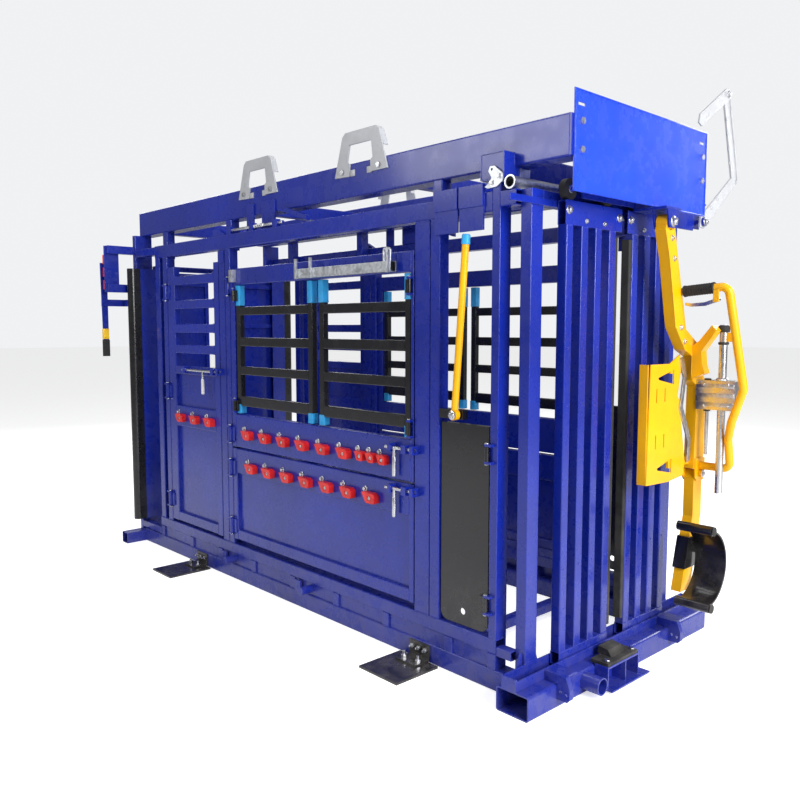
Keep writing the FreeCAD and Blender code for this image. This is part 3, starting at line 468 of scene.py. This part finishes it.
# ------------------------------------------------------------------ screws by the stop blocks
blocks = {
    "near_tail_door": [(x, 900, 90, 50) for x in (-1160, -980, -800)],
    "near_window_door": [(x, 862, 90, 50) for x in (-367, -191, -14, 160, 335, 508)] + [(x, 868, 58, 44) for x in (655, 735, 815)],
    "near_lower_door": [(x, 672, 90, 50) for x in (-336, -161, 14, 190, 366, 538, 709)],
}
for body, bl in blocks.items():
    bm = bmesh.new()
    for i, (x, z, w, h) in enumerate(bl):
        add_hexbolt(bm, D(x - 9, YO, z + h + 9), Vector((0, -1, 0)), 0.018, 0.010)
        add_lathe(bm, D(x + w * 0.58, YO - 26, z + h * 0.48), Vector((0, -1, 0)),
                  [(0, 0), (0, 0.0088), (0.0045, 0.0088), (0.0058, 0.0076), (0.0058, 0.0042), (0.003, 0.0040), (0.003, 0)], 20)
    make(body + "_screws", bm, ZINC, body)

# ------------------------------------------------------------------ slide bolt handle knobs
for nm, sd in SIDES:
    for body, x, z in (("tail_bolt", -808, 1098), ("window_bolt", 930, 827), ("lower_bolt", 930, 638)):
        bm = bmesh.new()
        r = 0.0082
        add_lathe(bm, S(sd, x, -616, z - 4), Vector((0, 0, 1)),
                  [(0, 0), (0.0004, r * 0.7), (0.003, r * 1.15), (0.008, r * 1.25), (0.090, r * 1.18), (0.096, r * 1.02), (0.097, r * 0.9)], 24)
        make("%s_%s_knob" % (nm, body), bm, ZINC if body != "tail_bolt" else WHITE, "%s_%s" % (nm, body))

# ------------------------------------------------------------------ weld beads
bm = bmesh.new()
k = 0
for sd in (1, -1):
    for x in (-1450, -1390, -1345, -1287, -632, -566, -562, -512, 1040, 1132, 1136, 1192):
        for zz in (218, 1960):
            k += 1
            s = 1.5 if zz == 218 else -1.5
            up = zz + s
            inner = x in (-1450, -1345, -632, -562, 1040, 1136)
            w = {-1450: 60, -1345: 58, -632: 66, -562: 50, 1040: 92, 1136: 56}.get(x)
            if inner:
                add_bead(bm, S(sd, x + 3, YO + 0.4, up), S(sd, x + w - 3, YO + 0.4, up), 0.0034, k)
    for x in (-1457, -1060, -700, -330, 60, 440, 820, 1230, 1478):
        k += 1
        add_bead(bm, S(sd, x + 2, YO + 0.4, 91.5), S(sd, x + 43, YO + 0.4, 91.5), 0.0030, k)
        add_bead(bm, S(sd, x + 2, YO + 0.4, 153.5), S(sd, x + 43, YO + 0.4, 153.5), 0.0030, k + 0.5)
    add_bead(bm, S(sd, 1484, YO + 0.4, 2080), S(sd, 1521, YO + 0.4, 2080), 0.0034, k)
    add_bead(bm, S(sd, 1482.3, YO + 1, 1958), S(sd, 1482.3, YO + 50, 1958), 0.0030, k)
for y0, y1 in ((-594, -514), (514, 594)):
    add_bead(bm, D(1624, y0 + 3, 91), D(1624, y1 - 3, 91), 0.0036, y0)
    add_bead(bm, D(-1702, y0 + 3, 77), D(-1702, y1 - 3, 77), 0.0036, y0)
make("frame_welds", bm, BLUE, "frame")

for nm, sd in SIDES:
    bm = bmesh.new()
    # tail door: rails on stiles
    for z in (296, 868, 1000, 1207, 1258, 1340, 1392, 1471, 1524, 1622, 1675, 1773, 1828):
        for x in (-1195, -696):
            add_bead(bm, S(sd, x, YO + 3.5, z + 0.8), S(sd, x + (14 if x == -1195 else -14), YO + 0.8, z + 0.8), 0.0026, z)
    make(nm + "_tail_door_welds", bm, BLUE, nm + "_tail_door")
    bm = bmesh.new()
    for z0, z1 in ((806, 1000), (1747, 1840)):
        for x in (-464, 1016):
            add_bead(bm, S(sd, x, YO + 0.2, z0 + 6), S(sd, x, YO + 0.2, z1 - 6), 0.0026, z0)
    make(nm + "_window_door_welds", bm, BLUE, nm + "_window_door")
    bm = bmesh.new()
    for z0, z1 in ((650, 796), (250, 310)):
        for x in (-464, 1004):
            add_bead(bm, S(sd, x, YO + 0.2, z0 + 6), S(sd, x, YO + 0.2, z1 - 6), 0.0026, z0)
    make(nm + "_lower_door_welds", bm, BLUE, nm + "_lower_door")

# ------------------------------------------------------------------ head gate bolts and bar welds
for nm, ys, wheel, bars in (("near", (-400, -280, -150, -40), (-383, -120), ((-413, -368), (-311, -263), (-212, -167), (-110, -62))),
                            ("far", (50, 160, 290, 410), (383, 120), ((70, 118), (170, 218), (270, 317), (368, 418)))):
    bm = bmesh.new()
    for y in (ys[0], ys[-1]):
        add_hexbolt(bm, D(1710, y, 1962), Vector((1, 0, 0)), 0.022, 0.010)
    for y in ys[1:3]:
        add_hexbolt(bm, D(1710, y, 1928), Vector((1, 0, 0)), 0.013, 0.006)
    for y in wheel:
        add_lathe(bm, D(1704.2, y, 2044), Vector((1, 0, 0)), [(0, 0), (0, 0.015), (0.0018, 0.0155), (0.0025, 0.014), (0.0025, 0.0082)], 24)
    make("head_gate_%s_bolts" % nm, bm, ZINC, "head_gate_" + nm)
    bm = bmesh.new()
    for a, b in bars:
        add_bead(bm, D(1710.2, a + 4, 171), D(1710.2, b - 4, 171), 0.0028, a)
        add_bead(bm, D(1708.8, a + 4, 1903.6), D(1708.8, b - 4, 1903.6), 0.0028, a)
        for z in (520, 1190, 1420):
            add_lathe(bm, D(1710, (a + b) / 2, z), Vector((1, 0, 0)), [(0, 0), (0, 0.0062), (0.0012, 0.0058), (0.0018, 0.003), (0.0018, 0)], 14)
    make("head_gate_%s_welds" % nm, bm, BLUE, "head_gate_" + nm)

# ------------------------------------------------------------------ restraint details
bm = bmesh.new()
add_hexbolt(bm, D(1874, 112, 1946), Vector((1, 0, 0)), 0.030, 0.012, 0.003)
add_lathe(bm, D(1885, 112, 1946), Vector((1, 0, 0)), [(0, 0), (0.004, 0.007), (0.009, 0.006), (0.0095, 0)], 18)
make("restraint_pivot_nut", bm, ZINC, "frame")
bm = bmesh.new()
for y, z in ((128, 1880), (150, 1795), (228, 1502), (262, 1440)):
    add_hexbolt(bm, D(1862, y, z), Vector((1, 0, 0)), 0.016, 0.006)
for x, z in ((1900, 1250), (2010, 1250), (1900, 1155), (2010, 1155)):
    add_hexbolt(bm, D(x, 382, z), Vector((0, -1, 0)), 0.013, 0.006)
for z in (1262, 1142):
    add_lathe(bm, D(1974, 400, z if z < 1200 else 1268), Vector((0, 0, 1 if z > 1200 else -1)),
              [(0, 0.0172), (0, 0.026), (0.006, 0.027), (0.010, 0.0235), (0.0125, 0.0172)], 30) if z > 1200 else None
for x in (1871, 1916):
    add_hexbolt(bm, D(x + 20, 236, 1288), Vector((0, 1, 0)), 0.010, 0.003) if False else None
make("restraint_bolts", bm, ZINC, "restraint")
bm = bmesh.new()
add_lathe(bm, D(1974, 400, 1482), Vector((0, 0, 1)), [(0, 0.0172), (0, 0.0235), (0.003, 0.0250), (0.022, 0.0250), (0.027, 0.0225), (0.030, 0.0172)], 30)
add_lathe(bm, D(1974, 400, 1438), Vector((0, 0, -1)), [(0, 0.0172), (0, 0.0215), (0.002, 0.0225), (0.010, 0.0225), (0.012, 0.0172)], 30)
for z in (1268, 1135.5):
    s_ = 1 if z > 1200 else -1
    add_lathe(bm, D(1908, 400, z), Vector((0, 0, s_)), [(0, 0.0082), (0, 0.014), (0.0015, 0.015), (0.006, 0.015), (0.0075, 0.013), (0.0075, 0.0082)], 24)
make("lock_collars", bm, RUBBER, "restraint")
bm = bmesh.new()
for z in (1160, 1202, 1244):
    add_box(bm, D(1866, 379, z - 9), D(2036, 382, z + 9), 0.0012, 2)
make("lock_straps", bm, GALV, "restraint")
bm = bmesh.new()
pts = [((72, 1912), (112, 1797)), ((112, 1797), (180, 1506)), ((180, 1506), (268, 1405)), ((268, 1405), (348, 1372))]
for (a0, a1), (b0, b1) in pts:
    add_bead(bm, D(1861.0, a0 + 2, a1), D(1861.0, b0 + 2, b1), 0.0030, a0)
add_bead(bm, D(1862.5, 334, 1290), D(1862.5, 334, 1408), 0.0034, 3)
add_bead(bm, D(1862.5, 380, 1290), D(1862.5, 380, 1408), 0.0034, 4)
make("restraint_welds", bm, YELLOW, "restraint")
# rubber end caps of the grip
bm = bmesh.new()
g = Vector((200, 4, 16)).normalized()
p = D(1862, 236, 1658)
for t, s in ((0.0095, -1), (0.1385, 1)):
    add_lathe(bm, p + g * t, g * s, [(0.0, 0.0185), (-0.004, 0.0245), (-0.001, 0.0255), (0.003, 0.0245), (0.005, 0.0185)], 30)
for i in range(11):
    add_lathe(bm, p + g * (0.018 + 0.0112 * i), g, [(-0.0022, 0.0229), (-0.001, 0.0241), (0.001, 0.0241), (0.0022, 0.0229)], 30)
make("restraint_grip_ribs", bm, GRIP, "restraint")

bm = bmesh.new()
for s in (1, -1):
    for x, dx in ((2036, 1), (1868, -1)):
        add_lathe(bm, D(x, 248, 451 + s * 172), Vector((dx, 0, 0)), [(-0.001, 0.0205), (0.0005, 0.0195), (0.002, 0.010), (0.0026, 0)], 28)
make("scoop_roller_caps", bm, RUBBER, "nose_bar")
bm = bmesh.new()
for xx, dd in ((1790, -1), (1884, 1)):
    add_hexbolt(bm, D(xx, 430, 836), Vector((dd, 0, 0)), 0.022, 0.006, 0.0015)
make("nose_pivot_nuts", bm, ZINC, "nose_bar")

# ------------------------------------------------------------------ far lever details
bm = bmesh.new()
add_hexbolt(bm, D(1712, 720, 2015), Vector((1, 0, 0)), 0.026, 0.010, 0.002)
make("lever_pivot_nut", bm, ZINC, "frame")
bm = bmesh.new()
add_hexbolt(bm, D(1710, 925, 2655), Vector((1, 0, 0)), 0.022, 0.009, 0.002)
make("link_nut", bm, ZINC, "gate_link")
bm = bmesh.new()
# folded stiffening rims along the lever's outer edge
edge = [(1062, 2236), (1072, 2268), (950, 2668)]
for (y0, z0), (y1, z1) in zip(edge, edge[1:]):
    add_bead(bm, D(1701.5, y0 - 5, z0), D(1701.5, y1 - 5, z1), 0.0042, y0)
for y, z in ((985, 2330), (968, 2400), (950, 2470), (932, 2540), (860, 2140), (800, 2090)):
    add_dome(bm, D(1700, y, z), Vector((1, 0, 0)), 0.010, 0.005)
make("lever_rivets", bm, PALE, "gate_lever")

# ------------------------------------------------------------------ sign rim and roof caps
bm = bmesh.new()
for y0, y1, z0, z1 in ((-514, 514, 2379, 2384), (-514, 514, 2011, 2016), (-514, -509, 2016, 2379), (509, 514, 2016, 2379)):
    add_box(bm, D(1808, y0, z0), D(1810.5, y1, z1), 0.0009, 2)
make("sign_rim", bm, SIGN, "frame")
bm = bmesh.new()
for y0, y1 in ((-530, -430), (430, 530)):
    add_box(bm, D(-1803, y0 + 1, 2136), D(-1800, y1 - 1, 2294), 0.0012, 2)
    add_box(bm, D(1795, y0 + 1, 2136), D(1797.5, y1 - 1, 2139), 0.0008, 2)
make("roof_caps", bm, BLUE, "frame")
bm = bmesh.new()
for c in (-290, 605):
    for s in (1, -1):
        for dx in (-1, 1):
            y0, y1 = (-536, -530) if s > 0 else (530, 536)
            add_box(bm, D(c + dx * 62 - 16, y0, 2232), D(c + dx * 62 + 16, y1, 2262), 0.001, 2)
make("lug_tabs", bm, PALE, "frame")

# ------------------------------------------------------------------ hinge pin heads and grease caps
hinges = {
    "frame": [(-1289, z, 80) for z in (330, 1050, 1690)] + [(-514, z, 80) for z in (840, 1700, 290, 640)] + [(1476, z, 60) for z in (330, 960)],
}
for nm, sd in SIDES:
    bm = bmesh.new()
    for x, z, h in hinges["frame"]:
        add_lathe(bm, S(sd, x, -606, z + h + 11.5), Vector((0, 0, 1)), [(-0.0005, 0.0), (-0.0005, 0.0092), (0.0025, 0.0096), (0.0042, 0.0080), (0.0048, 0)], 20)
        add_lathe(bm, S(sd, x, -606, z - 11.5), Vector((0, 0, -1)), [(-0.0005, 0.0), (-0.0005, 0.0092), (0.0025, 0.0096), (0.0042, 0.0080), (0.0048, 0)], 20)
    make(nm + "_hinge_pin_heads", bm, ZINC, "frame")
    bm = bmesh.new()
    for x in (-457, 1017.5):
        for z in (1020, 1655):
            add_lathe(bm, S(sd, x, -606, z + 71.5), Vector((0, 0, 1)), [(-0.0005, 0.0), (-0.0005, 0.0084), (0.002, 0.0088), (0.0036, 0.0072), (0.004, 0)], 20)
    make(nm + "_grille_pin_heads", bm, ZINC, nm + "_window_door")

# ------------------------------------------------------------------ rail latch rod
bm = bmesh.new()
for xa, xb in ((-503, -301), (-263, -71), (-33, 13)):
    L = (xb - xa) / 1000.0
    add_lathe(bm, D(xa, -575, 2062), Vector((1, 0, 0)), [(0, 0.0079), (0, 0.0087), (0.001, 0.0090), (L - 0.001, 0.0090), (L, 0.0087), (L, 0.0079)], 24)
for i in range(26):
    add_lathe(bm, D(-262 + i * 3.6, -575, 2062), Vector((1, 0, 0)), [(0, 0.0092), (0.0009, 0.0122), (0.0022, 0.0122), (0.0031, 0.0092)], 20)
make("rail_rod", bm, ZINC, "frame")

# ------------------------------------------------------------------ shaft fittings
bm = bmesh.new()
for y in (-598, 566):
    add_lathe(bm, D(1572, y, 2064), Vector((0, 1, 0)), [(0, 0.0242), (0, 0.0275), (0.006, 0.0275), (0.006, 0.0242)], 32)
add_hexbolt(bm, D(1484, -602, 2070), Vector((0, -1, 0)), 0.016, 0.006)
add_hexbolt(bm, D(1522, -602, 2092), Vector((0, -1, 0)), 0.016, 0.006)
make("shaft_collars", bm, ZINC, "frame")

# ------------------------------------------------------------------ stage, light
me = bpy.data.meshes.new("floor")
bm = bmesh.new()
bmesh.ops.create_grid(bm, x_segments=2, y_segments=2, size=60.0)
bm.to_mesh(me)
bm.free()
floor = bpy.data.objects.new("floor", me)
bpy.context.scene.collection.objects.link(floor)
m, nt, b = _nt("floor_pale")
b.inputs["Base Color"].default_value = (0.90, 0.90, 0.90, 1)
b.inputs["Roughness"].default_value = 0.8
me.materials.append(m)
floor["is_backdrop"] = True

b.inputs["Emission Color"].default_value = (1, 1, 1, 1)
fl = nt.nodes.new("ShaderNodeLightPath")
fm = nt.nodes.new("ShaderNodeMapRange")
fm.inputs["To Min"].default_value = 0.04
fm.inputs["To Max"].default_value = 0.62
nt.links.new(fl.outputs["Is Camera Ray"], fm.inputs["Value"])
nt.links.new(fm.outputs[0], b.inputs["Emission Strength"])
w = bpy.data.worlds.new("World")
bpy.context.scene.world = w
w.use_nodes = True
wt = w.node_tree
bg = wt.nodes["Background"]
bg.inputs[0].default_value = (0.97, 0.98, 1.0, 1)
lp = wt.nodes.new("ShaderNodeLightPath")
mr = wt.nodes.new("ShaderNodeMapRange")
mr.inputs["To Min"].default_value = 0.24
mr.inputs["To Max"].default_value = 0.90
wt.links.new(lp.outputs["Is Camera Ray"], mr.inputs["Value"])
wt.links.new(mr.outputs[0], bg.inputs[1])


def area(name, loc, target, size, power, col=(1, 1, 1)):
    l = bpy.data.lights.new(name, "AREA")
    l.shape = "RECTANGLE"
    l.size, l.size_y = size
    l.energy = power
    l.color = col
    o = bpy.data.objects.new(name, l)
    bpy.context.scene.collection.objects.link(o)
    o.location = loc
    o.rotation_euler = (Vector(target) - Vector(loc)).to_track_quat("-Z", "Y").to_euler()
    return o


area("key", (7.0, -1.2, 3.4), (1.6, 0, 1.1), (3.0, 3.5), 560)
area("side", (-2.5, -6.5, 4.2), (-0.2, 0, 1.0), (5.0, 1.6), 165)
area("top", (0, 0, 7.0), (0, 0, 0), (6.0, 3.0), 215)
area("rim", (-6.5, 2.5, 4.5), (0, 0, 1.2), (4.0, 3.0), 170)
area("back", (1.5, 7.0, 4.0), (0, 0, 1.2), (5.0, 1.6), 170)

lo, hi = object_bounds()
# plain display transform, so the paints show at their own strength
bpy.context.scene.view_settings.view_transform = "Standard"
